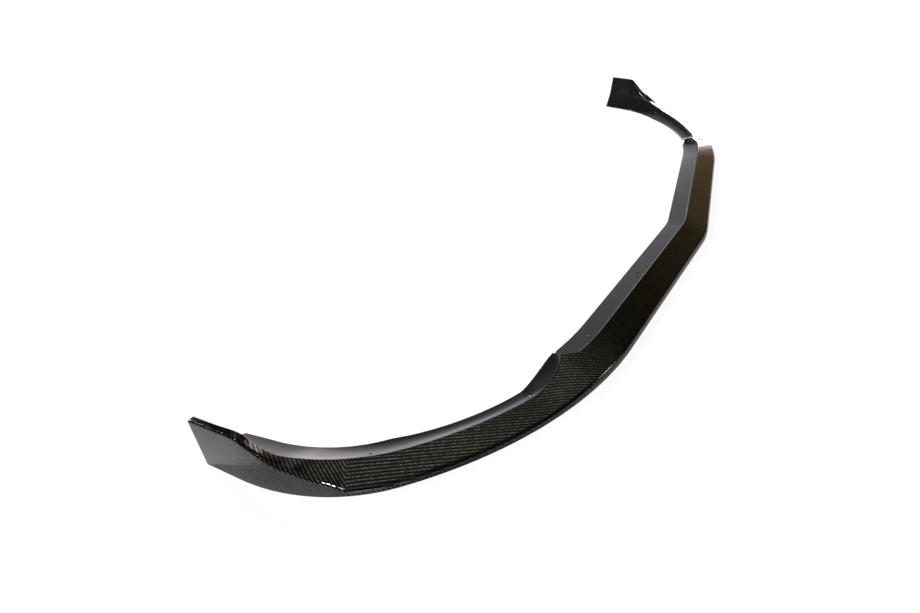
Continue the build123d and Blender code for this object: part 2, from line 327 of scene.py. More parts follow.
class Bench:
    """Adds nodes to one tree: a socket among the values is linked, anything else is set."""

    def __init__(self, tree):
        self.tree = tree

    def add(self, kind, values=(), out=0, **settings):
        node = self.tree.nodes.new(kind)
        for name, value in settings.items():
            setattr(node, name, value)
        for key, value in dict(values).items():
            sources = value if isinstance(value, list) else [value]
            for source in sources:
                if isinstance(source, bpy.types.NodeSocket):
                    self.tree.links.new(source, node.inputs[key])
                else:
                    node.inputs[key].default_value = source
        return node.outputs[out] if node.outputs else node

    def math(self, operation, *values):
        return self.add("ShaderNodeMath", enumerate(values), operation=operation)

    def vector(self, operation, *values, out=0):
        return self.add("ShaderNodeVectorMath", enumerate(values), out=out, operation=operation)

    def scaled(self, vector, factor):
        return self.add("ShaderNodeVectorMath", {"Vector": vector, "Scale": factor},
                        operation="SCALE")

    def mapped(self, value, span, ends=(0.0, 1.0)):
        return self.add("ShaderNodeMapRange", {
            "Value": value, "From Min": span[0], "From Max": span[1],
            "To Min": ends[0], "To Max": ends[1]})

    def blended(self, factor, first, second):
        return self.add("ShaderNodeMix", {"Factor": factor, "A": first, "B": second},
                        out="Result", data_type="RGBA")

    def parts(self, vector):
        node = self.add("ShaderNodeSeparateXYZ", {0: vector}).node
        return node.outputs[0], node.outputs[1], node.outputs[2]

    def joined(self, x, y, z):
        return self.add("ShaderNodeCombineXYZ", {0: x, 1: y, 2: z})


def linked(name, data):
    """A new object of the scene, at the origin."""
    thing = bpy.data.objects.new(name, data)
    bpy.context.scene.collection.objects.link(thing)
    return thing


# Sections

def rounded_corner(before, corner, after, radius):
    """Points of the arc that rounds a corner, no longer than its two sides allow."""
    tip = complex(*corner)
    side_in = complex(*before) - tip
    side_out = complex(*after) - tip
    shorter = min(abs(side_in), abs(side_out))
    side_in /= abs(side_in)
    side_out /= abs(side_out)
    half_angle = abs(phase(side_out / side_in)) / 2
    reach = min(radius / tan(half_angle), ROUND_LIMIT * shorter)
    bisector = (side_in + side_out) / abs(side_in + side_out)
    centre = tip + bisector * reach / cos(half_angle)
    arm = tip + side_in * reach - centre
    turn = phase((tip + side_out * reach - centre) / arm)
    points = []
    for step in range(ROUND_FACETS + 1):
        point = centre + arm * rect(1, turn * step / ROUND_FACETS)
        points.append((point.real, point.imag))
    return points


class Sizes(NamedTuple):
    """Sizes of one section: heights above the floor, and insets behind the front edge."""

    edge: float
    lean: float  # how far the edge stands out over its foot
    edge_round: float  # radius between the front wall and the face
    crest_in: float
    crest: float
    step_run: float  # how far the wall behind the crest slopes inwards
    fold: float  # height at which the wall behind the crest meets the flange
    flange_in: float
    flange: float
    cove: float  # depth of the flange's hollow


# Panels of the outline, each the stretch that follows its corner, with the corner's own arc
PANEL_POINTS = ROUND_FACETS + 1 + len(PANEL_SHARES)
FOOT_PANEL = 4
WALL_PANEL = 5
FACE_PANEL = 6
STEP_PANEL = 7
FLANGE_PANEL = 8
HOLLOW_PANELS = (0, FLANGE_PANEL)
ROUNDED_PANELS = (FACE_PANEL, STEP_PANEL)


def outline(size):
    """Closed section, from the flange's underside round the front edge to the flange's top."""
    fold_in = size.crest_in + size.step_run
    slope = (size.fold - SKIN - size.flange) / (size.flange_in - fold_in)
    drop = SKIN * (1 + slope * slope) ** 0.5
    roof = min(size.edge - SKIN, size.fold - drop)
    roof_in = SKIN - size.lean * roof / size.edge
    under_crest = (
        fold_in - CREST_STEP_RUN - UNDER_CREST_OUT, size.fold + CREST_STEP - UNDER_CREST_DOWN,
    )
    corners = (
        ((size.flange_in, size.flange), SHEET_ROUND),
        ((fold_in, size.fold - drop), INNER_ROUND),
        (under_crest, INNER_ROUND),
        ((roof_in, roof), INNER_ROUND),
        ((SKIN, 0.0), SHEET_ROUND),
        ((0.0, 0.0), SHEET_ROUND),
        ((-size.lean, size.edge), size.edge_round),
        ((size.crest_in, size.crest), CREST_ROUND),
        ((fold_in, size.fold), SHEET_ROUND),
        ((size.flange_in, size.flange + drop), SHEET_ROUND),
    )
    places = [place for place, _ in corners]
    arcs = []
    for number, (place, radius) in enumerate(corners):
        after = places[(number + 1) % len(places)]
        arcs.append(rounded_corner(places[number - 1], place, after, radius))
    points = []
    for arc, following in zip(arcs, arcs[1:] + arcs[:1]):
        points += arc
        for share in PANEL_SHARES:
            points.append(tuple(a + (b - a) * share for a, b in zip(arc[-1], following[0])))
    hollowed = []
    for number, (inset, height) in enumerate(points):
        if number // PANEL_POINTS in HOLLOW_PANELS:
            share = min(1.0, max(0.0, (inset - fold_in) / (size.flange_in - fold_in)))
            height -= 4 * size.cove * share * (1 - share)
        hollowed.append((inset, height))
    return hollowed


def recess_sizes(crest_in, flange_in):
    """Section on the two planes of the middle section, its face and its recessed flange."""
    face_slope = (NOSE_CREST_HEIGHT - NOSE_EDGE_HEIGHT) / NOSE_FACE_DEPTH
    fold = NOSE_CREST_HEIGHT - CREST_STEP
    flange_run = NOSE_FLANGE_DEPTH - NOSE_FACE_DEPTH - CREST_STEP_RUN
    flange_slope = (fold - SKIN - NOSE_FLANGE_HEIGHT) / flange_run
    return Sizes(
        edge=NOSE_EDGE_HEIGHT,
        lean=0.0,
        edge_round=EDGE_ROUND,
        crest_in=crest_in,
        crest=NOSE_EDGE_HEIGHT + face_slope * crest_in,
        step_run=CREST_STEP_RUN,
        fold=fold - flange_slope * (crest_in - NOSE_FACE_DEPTH),
        flange_in=flange_in,
        flange=NOSE_FLANGE_HEIGHT + flange_slope * (NOSE_FLANGE_DEPTH - flange_in),
        cove=0.0,
    )


def flange_end_sizes(along):
    """Section where the crest turns round the flange's corner and runs across to the tooth."""
    if along < FLANGE_CORNER_END:
        reach = max(0.0, along - FLANGE_CORNER_AT)
        sag = FLANGE_CORNER_ROUND - (FLANGE_CORNER_ROUND ** 2 - reach ** 2) ** 0.5
        return recess_sizes(NOSE_FACE_DEPTH + sag, NOSE_FLANGE_DEPTH)
    share = (along - NOSE_FLANGE_END) / TOOTH_RUN
    drawn_in = (along - FLANGE_CORNER_END) / (TOOTH_AT - FLANGE_CORNER_END)
    return recess_sizes(
        NOSE_FACE_DEPTH + (TOOTH_FACE_DEPTH - NOSE_FACE_DEPTH) * share,
        NOSE_FLANGE_DEPTH + (TOOTH_FLANGE_DEPTH - NOSE_FLANGE_DEPTH) * drawn_in,
    )


def between(first, second, share):
    """Sizes part of the way from one section to another."""
    return Sizes(*(a + (b - a) * share for a, b in zip(first, second)))


def scoop_sizes(share):
    """Section behind the tooth: the crest drops and moves forward as the flange falls away."""
    left = 1 - share
    fall = share * share * (3 - 2 * share)
    crest = WING_CREST_HEIGHT + (TOOTH_CREST_HEIGHT - WING_CREST_HEIGHT) * left ** SCOOP_CREST_EASE
    return Sizes(
        edge=NOSE_EDGE_HEIGHT + (WING_EDGE_HEIGHT - NOSE_EDGE_HEIGHT) * share,
        lean=0.0,
        edge_round=EDGE_ROUND,
        crest_in=WING_FACE_DEPTH + (TOOTH_FACE_DEPTH - WING_FACE_DEPTH) * left ** SCOOP_FACE_EASE,
        crest=crest,
        step_run=CREST_STEP_RUN,
        fold=crest - CREST_STEP,
        flange_in=TOOTH_FLANGE_DEPTH + (WING_FLANGE_DEPTH - TOOTH_FLANGE_DEPTH) * share,
        flange=TOOTH_FLANGE_HEIGHT + (WING_FLANGE_HEIGHT - TOOTH_FLANGE_HEIGHT) * fall,
        cove=WING_FLANGE_COVE * share,
    )


def wing_sizes(share):
    """Section of the plain wing: its flange widens and its crest rises slowly."""
    crest = WING_CREST_HEIGHT + WING_CREST_RISE * share
    return Sizes(
        edge=WING_EDGE_HEIGHT,
        lean=0.0,
        edge_round=EDGE_ROUND,
        crest_in=WING_FACE_DEPTH,
        crest=crest,
        step_run=CREST_STEP_RUN,
        fold=crest - CREST_STEP,
        flange_in=WING_FLANGE_DEPTH + WING_FLANGE_GROWTH * share ** WING_FLANGE_EASE,
        flange=WING_FLANGE_HEIGHT,
        cove=WING_FLANGE_COVE,
    )


def fin_sizes(run, edge_share, crest_share, rim_share):
    """Section where the face narrows to a rim and climbs to the top of the fin."""
    lean = FIN_LEAN_FRONT + (FIN_LEAN_TAIL - FIN_LEAN_FRONT) * run ** FIN_LEAN_EASE
    foot = WING_CREST_HEIGHT + WING_CREST_RISE
    crest = foot + (FIN_HEIGHT - foot) * crest_share
    fold = min(crest - CREST_STEP, FIN_FOLD_HEIGHT)
    widest = WING_FLANGE_DEPTH + WING_FLANGE_GROWTH
    return Sizes(
        edge=WING_EDGE_HEIGHT + (FIN_HEIGHT - WING_EDGE_HEIGHT) * edge_share,
        lean=lean * edge_share,
        edge_round=EDGE_ROUND + (FIN_EDGE_ROUND - EDGE_ROUND) * edge_share,
        crest_in=WING_FACE_DEPTH + (FIN_RIM_INSET - WING_FACE_DEPTH) * rim_share,
        crest=crest,
        step_run=CREST_STEP_RUN + FIN_WALL_DRAFT * (crest - CREST_STEP - fold),
        fold=fold,
        flange_in=widest + (TAIL_FLANGE_DEPTH - widest) * run ** TAIL_FLANGE_EASE,
        flange=WING_FLANGE_HEIGHT,
        cove=WING_FLANGE_COVE,
    )


def wing_stations():
    """(distance along the edge, sizes) from the tooth to the tail."""
    stations = []
    for share in SCOOP_SHARES:
        stations.append((TOOTH_AT + SCOOP_RUN * share, scoop_sizes(share)))
    for share in WING_SHARES:
        stations.append((SCOOP_END + (CLIMB_START - SCOOP_END) * share, wing_sizes(share)))
    for row in FIN_GROWTH:
        stations.append((CLIMB_START + FIN_CLIMB_RUN * row[0], fin_sizes(*row)))
    return stations


def steady_slopes(places, values):
    """Slopes for a smooth curve through the values that never overshoots them."""
    rises = []
    for number in range(len(places) - 1):
        run = places[number + 1] - places[number]
        rises.append((values[number + 1] - values[number]) / run)
    slopes = [rises[0]]
    for before, after in zip(rises, rises[1:]):
        level = before * after <= 0
        slopes.append(0.0 if level else 2 * before * after / (before + after))
    slopes.append(rises[-1])
    return slopes


def wing_curves(stations):
    """Function that gives the smoothed sizes at a distance along the edge."""
    places = [place for place, _ in stations]
    columns = list(zip(*(sizes for _, sizes in stations)))
    slopes = [steady_slopes(places, column) for column in columns]

    def sizes_at(along):
        number = 0
        while number < len(places) - 2 and along > places[number + 1]:
            number += 1
        run = places[number + 1] - places[number]
        t = min(1.0, (along - places[number]) / run)
        sizes = []
        for column, slope in zip(columns, slopes):
            ease = t * t * (3 - 2 * t)
            size = column[number] + (column[number + 1] - column[number]) * ease
            size += run * slope[number] * t * (1 - t) ** 2
            size -= run * slope[number + 1] * t * t * (1 - t)
            sizes.append(size)
        return Sizes(*sizes)

    return sizes_at


def spread(start, stop, spacing):
    """Evenly spaced places from start up to, but not at, stop."""
    count = ceil((stop - start) / spacing)
    return [start + (stop - start) * step / count for step in range(count)]


def shrunk(points, by):
    """The closed outline with every point moved in by a distance."""
    moved = []
    for number, point in enumerate(points):
        here = complex(*point)
        way = complex(*points[(number + 1) % len(points)]) - complex(*points[number - 1])
        inward = here - way / abs(way) * 1j * by
        moved.append((inward.real, inward.imag))
    return moved


def lip_sizes():
    """Function that gives the sizes anywhere along the edge, with the tooth's wall eased."""
    wing_at = wing_curves(wing_stations())

    def sharp(along):
        if along <= WALL_FOOT:
            return flange_end_sizes(along)
        if along < TOOTH_AT:
            share = (along - WALL_FOOT) / TOOTH_WALL_RUN
            return between(flange_end_sizes(WALL_FOOT), scoop_sizes(0.0), share)
        return wing_at(along)

    def eased(along):
        near = min(abs(along - WALL_FOOT), abs(along - TOOTH_AT))
        if near >= TOOTH_ROUND:
            return sharp(along)
        reach = TOOTH_ROUND - near
        samples = []
        for step in range(-EASE_STEPS, EASE_STEPS + 1):
            samples.append(sharp(along + reach * step / EASE_STEPS))
        return Sizes(*(sum(values) / len(samples) for values in zip(*samples)))

    return eased


def lip_rows():
    """(distance along the edge, outline, whether its flange is satin) for half of the lip."""
    places = [
        *spread(0.0, FLANGE_CORNER_AT, NOSE_ROW),
        *spread(FLANGE_CORNER_AT, WALL_FOOT - TOOTH_ROUND, CORNER_ROW),
        *spread(WALL_FOOT - TOOTH_ROUND, WALL_FOOT + TOOTH_ROUND, ROUND_ROW),
        *spread(WALL_FOOT + TOOTH_ROUND, TOOTH_AT - TOOTH_ROUND, CORNER_ROW),
        *spread(TOOTH_AT - TOOTH_ROUND, TOOTH_AT + TOOTH_ROUND, ROUND_ROW),
        *spread(TOOTH_AT + TOOTH_ROUND, CLIMB_START, WING_ROW),
        *spread(CLIMB_START, FIN_CLOTH_FROM, FIN_ROW),
        *spread(FIN_CLOTH_FROM, TAIL_END - TAIL_ROUND, FIN_ROW),
    ]
    sizes_at = lip_sizes()
    rows = []
    for along in places:
        wall = WALL_FOOT <= along < TOOTH_AT
        rows.append((along, outline(sizes_at(along)), not wall))
    for step in range(TAIL_ROUND_STEPS + 1):
        angle = pi / 2 * step / TAIL_ROUND_STEPS
        along = TAIL_END - TAIL_ROUND * (1 - sin(angle))
        points = outline(sizes_at(along))
        rows.append((along, shrunk(points, TAIL_ROUND * (1 - cos(angle))), True))
    return rows


def girths(points):
    """Distance round the outline of each point from the top of the front edge."""
    start = FACE_PANEL * PANEL_POINTS + ROUND_FACETS // 2
    lengths = [0.0]
    for before, after in zip(points, points[1:]):
        lengths.append(lengths[-1] + abs(complex(*after) - complex(*before)))
    return [length - lengths[start] for length in lengths]


def section_sheet():
    """Half of the lip drawn straight: x is the inset, y the place along the edge, z the height."""
    rows = lip_rows()
    around = len(rows[0][1])
    places = []
    girth = []
    for along, points, _ in rows:
        places += [(inset * MM, along * MM, height * MM) for inset, height in points]
        girth += [length * MM for length in girths(points)]
    faces = []
    satin = []
    wall = []
    unrolled = []
    for number, (_, _, satin_flange) in enumerate(rows[:-1]):
        for column in range(around):
            here = number * around + column
            beside = number * around + (column + 1) % around
            faces.append((here, here + around, beside + around, beside))
            panel = column // PANEL_POINTS
            on_arc = column % PANEL_POINTS < ROUND_FACETS
            underside = panel < FOOT_PANEL or panel > FLANGE_PANEL
            flange = panel == FLANGE_PANEL or (panel == STEP_PANEL and not on_arc)
            satin.append(underside or (flange and satin_flange))
            # Painted shade: the front wall and the rounded edges get the dimmer copy of the twill
            rounded = panel in ROUNDED_PANELS and on_arc
            # Painted shade: from here on the rim's tail gets the dimmer twill and looks plain black
            shaded_rim = panel == FACE_PANEL and rows[number][0] >= SHADED_RIM_FROM
            wall.append(panel == WALL_PANEL or rounded or shaded_rim)
            unrolled.append(panel == WALL_PANEL or rows[number][0] >= FIN_CLOTH_FROM)
    faces.append(tuple(range((len(rows) - 1) * around, len(rows) * around)))
    satin.append(True)
    wall.append(False)
    unrolled.append(True)
    mesh = bpy.data.meshes.new("section_sheet")
    mesh.from_pydata(places, [], faces)
    mesh.attributes.new("girth", "FLOAT", "POINT").data.foreach_set("value", girth)
    for name, chosen_faces in (("satin", satin), ("wall", wall), ("unrolled", unrolled)):
        mesh.attributes.new(name, "BOOLEAN", "FACE").data.foreach_set("value", chosen_faces)
    return linked("section_sheet", mesh)


# Front edge

def edge_runs():
    """The front edge's runs as (length, turn)."""
    return (
        (NOSE_ARC, NOSE_SWEEP),
        (NOSE_RUN, 0.0),
        (SHOULDER_ARC, SHOULDER_TURN),
        (CORNER_ARC, CORNER_TURN),
        (TAIL_RUN, 0.0),
    )


def front_edge(nose_y):
    """The front edge as a curve of one cubic span for each run."""
    curve = bpy.data.curves.new("front_edge", "CURVE")
    curve.dimensions = "3D"
    curve.resolution_u = EDGE_STEPS
    spline = curve.splines.new("BEZIER")
    spline.bezier_points.add(len(edge_runs()))
    place = complex(0, nose_y)
    heading = 0.0
    points = spline.bezier_points
    points[0].handle_left = points[0].co = (0, nose_y, 0)
    for number, (length, turn) in enumerate(edge_runs()):
        chord = length * MM * (sin(turn / 2) / (turn / 2) if turn else 1)
        arm = length * MM * (4 / 3 * tan(turn / 4) / turn if turn else 1 / 3)
        leaving = place + rect(arm, heading)
        place += rect(chord, heading + turn / 2)
        heading += turn
        arriving = place - rect(arm, heading)
        points[number].handle_right = (leaving.real, leaving.imag, 0)
        points[number + 1].handle_left = (arriving.real, arriving.imag, 0)
        points[number + 1].co = (place.real, place.imag, 0)
    points[-1].handle_right = points[-1].co
    return linked("front_edge", curve)


def screw_marks():
    """Points at the screw places, drawn straight like the section sheet."""
    mesh = bpy.data.meshes.new("screw_marks")
    mesh.from_pydata([(inset * MM, along * MM, 0) for along, inset in SCREWS], [], [])
    return linked("screw_marks", mesh)


# Geometry nodes

OTHER_SIDE = (-1, 1, 1)
LIP_INPUTS = (
    ("Front Edge", "NodeSocketObject"),
    ("Screw Marks", "NodeSocketObject"),
    ("Screw Radius", "NodeSocketFloat"),
    ("Tail End", "NodeSocketFloat"),
    ("Tail Run", "NodeSocketFloat"),
    ("Rake In", "NodeSocketFloat"),
    ("Rake Up", "NodeSocketFloat"),
    ("Wall Turn", "NodeSocketFloat"),
    ("Crease Angle", "NodeSocketFloat"),
    ("Face Carbon", "NodeSocketMaterial"),
    ("Shaded Twill", "NodeSocketMaterial"),
    ("Satin", "NodeSocketMaterial"),
)


def named(bench, name, kind):
    return bench.add("GeometryNodeInputNamedAttribute", {"Name": name}, data_type=kind)


def stored_cloth(bench, geometry, cloth):
    return bench.add("GeometryNodeStoreNamedAttribute", {
        "Geometry": geometry, "Name": "cloth", "Value": cloth},
        data_type="FLOAT2", domain="CORNER")


def across(bench, geometry):
    """The drawing on the other side of the lip's middle."""
    return bench.add("GeometryNodeTransform", {"Geometry": geometry, "Scale": OTHER_SIDE})


def edge_place(bench, inputs):
    """Point and inward direction of the front edge beside each point of a straight drawing."""
    position = bench.add("GeometryNodeInputPosition")
    inset, along, height = bench.parts(position)
    to_tail = bench.math("SUBTRACT", inputs["Tail End"], along)
    to_tail = bench.math("DIVIDE", to_tail, inputs["Tail Run"])
    raked = bench.math("MAXIMUM", bench.math("SUBTRACT", 1.0, to_tail), 0.0)
    lean = bench.math("ADD", bench.math("MULTIPLY", inset, inputs["Rake In"]),
                      bench.math("MULTIPLY", height, inputs["Rake Up"]))
    length = bench.math("SUBTRACT", along, bench.math("MULTIPLY", raked, lean))
    edge = bench.add("GeometryNodeObjectInfo", {"Object": inputs["Front Edge"]}, out="Geometry")
    sample = bench.add("GeometryNodeSampleCurve", {"Curves": edge, "Length": length},
                       mode="LENGTH").node
    tangent = bench.vector("NORMALIZE", sample.outputs["Tangent"])
    inward = bench.vector("CROSS_PRODUCT", (0, 0, 1), tangent)
    return sample.outputs["Position"], inward, inset, along, height


def bent(bench, geometry, inputs):
    """A straight drawing bent along the front edge."""
    place, inward, inset, _, height = edge_place(bench, inputs)
    target = bench.vector("ADD", place, bench.scaled(inward, inset))
    target = bench.vector("ADD", target, bench.joined(0.0, 0.0, height))
    return bench.add("GeometryNodeSetPosition", {"Geometry": geometry, "Position": target})


def with_cloth(bench, geometry, inputs):
    """Stores where each corner lies on the flat cloth: in plan, and unrolled on wall and fin."""
    place, inward, _, along, _ = edge_place(bench, inputs)
    girth = named(bench, "girth", "FLOAT")
    plan = bench.vector("ADD", place, bench.scaled(inward, girth))
    turn = inputs["Wall Turn"]
    unrolled = bench.add("ShaderNodeVectorRotate", {
        "Vector": bench.joined(along, girth, 0.0), "Angle": turn}, rotation_type="Z_AXIS")
    cloth = bench.add("GeometryNodeSwitch", {
        "Switch": named(bench, "unrolled", "BOOLEAN"), "False": plan, "True": unrolled},
        input_type="VECTOR")
    return stored_cloth(bench, geometry, cloth)


def mirrored(bench, geometry):
    """The other half: the cloth's own coordinates turn over with it."""
    turned = bench.add("GeometryNodeFlipFaces", {"Mesh": across(bench, geometry)})
    cloth = bench.vector("MULTIPLY", named(bench, "cloth", "FLOAT_VECTOR"), OTHER_SIDE)
    return stored_cloth(bench, turned, cloth)


def drills(bench, inputs):
    """Upright drills at the screw places of both halves."""
    marks = bench.add("GeometryNodeObjectInfo", {"Object": inputs["Screw Marks"]}, out="Geometry")
    places = bent(bench, marks, inputs)
    places = bench.add("GeometryNodeJoinGeometry", {"Geometry": [places, across(bench, places)]})
    drill = bench.add("GeometryNodeMeshCylinder", {
        "Vertices": SCREW_FACETS, "Radius": inputs["Screw Radius"], "Depth": 2 * FIN_HEIGHT * MM})
    placed = bench.add("GeometryNodeInstanceOnPoints", {"Points": places, "Instance": drill})
    return bench.add("GeometryNodeRealizeInstances", {"Geometry": placed})


def lip_tree():
    """Tree that bends the straight half along the edge, mirrors it, drills it and dresses it."""
    tree = bpy.data.node_groups.new("bend_lip_along_edge", "GeometryNodeTree")
    tree.interface.new_socket("Geometry", in_out="INPUT", socket_type="NodeSocketGeometry")
    tree.interface.new_socket("Geometry", in_out="OUTPUT", socket_type="NodeSocketGeometry")
    for name, kind in LIP_INPUTS:
        tree.interface.new_socket(name, in_out="INPUT", socket_type=kind)
    bench = Bench(tree)
    inputs = bench.add("NodeGroupInput").node.outputs
    half = bent(bench, with_cloth(bench, inputs["Geometry"], inputs), inputs)
    whole = bench.add("GeometryNodeJoinGeometry", {"Geometry": [half, mirrored(bench, half)]})
    whole = bench.add("GeometryNodeMergeByDistance", {
        "Geometry": whole, "Distance": MERGE_DISTANCE * MM})
    whole = bench.add("GeometryNodeMeshBoolean", {
        "Mesh 1": whole, "Mesh 2": drills(bench, inputs)}, operation="DIFFERENCE", solver="EXACT")
    whole = bench.add("GeometryNodeSetShadeSmooth", {"Geometry": whole, "Shade Smooth": True})
    angle = bench.add("GeometryNodeInputMeshEdgeAngle")
    crease = bench.add("FunctionNodeCompare", {"A": angle, "B": inputs["Crease Angle"]},
                       data_type="FLOAT", operation="GREATER_THAN")
    whole = bench.add("GeometryNodeSetShadeSmooth", {
        "Geometry": whole, "Selection": crease, "Shade Smooth": False}, domain="EDGE")
    whole = bench.add("GeometryNodeRealizeInstances", {"Geometry": whole})
    whole = bench.add("GeometryNodeSetMaterial", {
        "Geometry": whole, "Material": inputs["Face Carbon"]})
    for panel, material in (("wall", "Shaded Twill"), ("satin", "Satin")):
        whole = bench.add("GeometryNodeSetMaterial", {
            "Geometry": whole, "Selection": named(bench, panel, "BOOLEAN"),
            "Material": inputs[material]})
    bench.add("NodeGroupOutput", {"Geometry": whole})
    return tree


def make_lip():
    """The lip as one plain mesh, at the origin."""
    low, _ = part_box("splitter_lip")
    sheet = section_sheet()
    edge = front_edge(low.y)
    marks = screw_marks()
    values = {
        "Front Edge": edge,
        "Screw Marks": marks,
        "Screw Radius": SCREW_RADIUS * MM,
        "Tail End": TAIL_END * MM,
        "Tail Run": TAIL_RUN * MM,
        "Rake In": TAIL_RAKE_IN,
        "Rake Up": TAIL_RAKE_UP,
        "Wall Turn": WALL_TURN,
        "Crease Angle": CREASE_ANGLE,
        "Face Carbon": twill_carbon("gloss_twill_face", FACE_FLOAT, FACE_GAP, FACE_COAT),
        # Dimmer copy of the face's twill, painted shade, with a painted sheen along the wall
        "Shaded Twill": twill_carbon(
            "gloss_twill_wall_painted_shade", SHADED_WALL_FLOAT, WALL_GAP, WALL_COAT, with_painted_sheen=True),
        "Satin": satin_material(),
    }
    modifier = sheet.modifiers.new("lip", "NODES")
    modifier.node_group = lip_tree()
    for item in modifier.node_group.interface.items_tree:
        if item.in_out == "INPUT" and item.name in values:
            modifier[item.identifier] = values[item.name]
    evaluated = sheet.evaluated_get(bpy.context.evaluated_depsgraph_get())
    mesh = bpy.data.meshes.new_from_object(evaluated)
    for helper in (sheet, edge, marks):
        bpy.data.objects.remove(helper)
    mesh.name = "lip_skin"
    return linked("lip_skin", mesh)


# Materials

def new_material(name):
    material = bpy.data.materials.new(name)
    material.use_nodes = True
    material.node_tree.nodes.clear()
    return material, Bench(material.node_tree)


def twill(bench):
    """Two-by-two twill: how bright each tow lies on top, and how high it stands."""
    cloth = bench.add("ShaderNodeUVMap", uv_map="cloth")
    turn = phase(ROW_DIRECTION) + pi / 4
    flat = bench.add("ShaderNodeMapping", {"Vector": cloth, "Rotation": (0, 0, -turn)})
    u, v, _ = bench.parts(bench.scaled(flat, 1 / TOW_WIDTH))
    column = bench.math("FLOOR", u)
    row = bench.math("FLOOR", v)
    warp_place = bench.math("ADD", column, v)
    warp_run = bench.math("FLOORED_MODULO", warp_place, TOWS_REPEAT)
    weft_run = bench.math("FLOORED_MODULO", bench.math("ADD", row, u), TOWS_REPEAT)
    warp_up = bench.math("LESS_THAN", warp_run, TOWS_OVER)
    warp_along = bench.math("DIVIDE", warp_run, TOWS_OVER)
    warp_hump = hump(bench, warp_along, bench.math("SUBTRACT", u, column))
    weft_along = bench.math("DIVIDE", bench.math("SUBTRACT", weft_run, TOWS_OVER), TOWS_OVER)
    weft_hump = hump(bench, weft_along, bench.math("SUBTRACT", v, row))
    height = chosen(bench, warp_up, weft_hump, warp_hump)
    number = bench.math("FLOOR", bench.math("DIVIDE", warp_place, TOWS_REPEAT))
    chance = bench.add("ShaderNodeTexWhiteNoise", {"Vector": bench.joined(column, number, 0.0)})
    chance = bench.math("POWER", chance, FLOAT_CHANCE)
    tone = bench.math("MULTIPLY_ADD", chance, FLOAT_SPREAD, FLOAT_LEAST)
    lit = bench.math("MULTIPLY", bench.math("POWER", warp_hump, FLOAT_SHARPNESS), tone)
    bright = bench.math("MULTIPLY", lit, warp_up)
    return bright, height


def hump(bench, along, across):
    """Height of a tow where it passes over its neighbours."""
    rise = bench.math("SINE", bench.math("MULTIPLY", along, pi))
    crown = bench.math("SINE", bench.math("MULTIPLY", across, pi))
    rise = bench.math("POWER", rise, TOW_RISE)
    crown = bench.math("POWER", crown, TOW_CROWN)
    return bench.math("MULTIPLY", rise, crown)


def chosen(bench, factor, first, second):
    return bench.add("ShaderNodeMix", {"Factor": factor, "A": first, "B": second},
                     data_type="FLOAT")


def painted_root_sheen(bench):
    """Painted sheen on the wall's tows, set by place: most at the fin's root, least at the tail."""
    _, y, _ = bench.parts(bench.add("ShaderNodeTexCoord", out="Object"))
    ahead = bench.mapped(y, SHEEN_COMES, SHEEN_RISE)
    behind = bench.mapped(y, SHEEN_GOES, SHEEN_FALL)
    return bench.math("MULTIPLY", ahead, behind)


def twill_carbon(name, float_colour, gap_colour, coat, with_painted_sheen=False):
    """Dark twill under a smooth clear coat: the tows that lie on top glint, the rest stay dark."""
    material, bench = new_material(name)
    bright, height = twill(bench)
    # Painted sheen: the wall's glints are scaled by their place along the lip, not by the lamps
    if with_painted_sheen:
        bright = bench.math("MULTIPLY", bright, painted_root_sheen(bench))
    colour = bench.blended(bright, gap_colour, float_colour)
    bump = bench.add("ShaderNodeBump", {
        "Strength": TOW_BUMP, "Distance": TOW_RELIEF, "Height": height})
    shader = bench.add("ShaderNodeBsdfPrincipled", {
        "Base Color": colour, "Metallic": 1.0, "Roughness": TOW_ROUGHNESS, "Normal": bump,
        "Coat Weight": coat, "Coat Roughness": COAT_ROUGHNESS, "Coat IOR": COAT_IOR})
    bench.add("ShaderNodeOutputMaterial", {"Surface": shader})
    return material


def satin_material():
    """Satin dark grey of the screw flange and the underside, with a fine grain and faint clouds."""
    material, bench = new_material("satin_flange_grey")
    place = bench.add("ShaderNodeTexCoord", out="Object")
    grain = bench.add("ShaderNodeTexNoise", {
        "Vector": place, "Scale": GRAIN_SCALE, "Detail": GRAIN_DETAIL})
    cloud = bench.add("ShaderNodeTexNoise", {
        "Vector": place, "Scale": CLOUD_SCALE, "Detail": CLOUD_DETAIL})
    tone = bench.math("ADD", bench.math("MULTIPLY", grain, GRAIN_SHARE),
                      bench.math("MULTIPLY", cloud, CLOUD_SHARE))
    colour = bench.blended(tone, SATIN_DARK, SATIN_PALE)
    rough = bench.math("MULTIPLY_ADD", cloud, CLOUD_ROUGHNESS, SATIN_ROUGHNESS)
    bump = bench.add("ShaderNodeBump", {
        "Strength": GRAIN_BUMP, "Distance": GRAIN_RELIEF, "Height": grain})
    shader = bench.add("ShaderNodeBsdfPrincipled", {
        "Base Color": colour, "Roughness": rough, "IOR": SATIN_IOR, "Normal": bump})
    bench.add("ShaderNodeOutputMaterial", {"Surface": shader})
    return material


# Stage

def glowing(bench, colour, tint, glow):
    """A diffuse colour that also gives off light."""
    shade = bench.add("ShaderNodeBsdfDiffuse", {"Color": colour})
    white = bench.add("ShaderNodeEmission", {"Color": tint, "Strength": glow})
    return bench.add("ShaderNodeAddShader", {0: shade, 1: white})


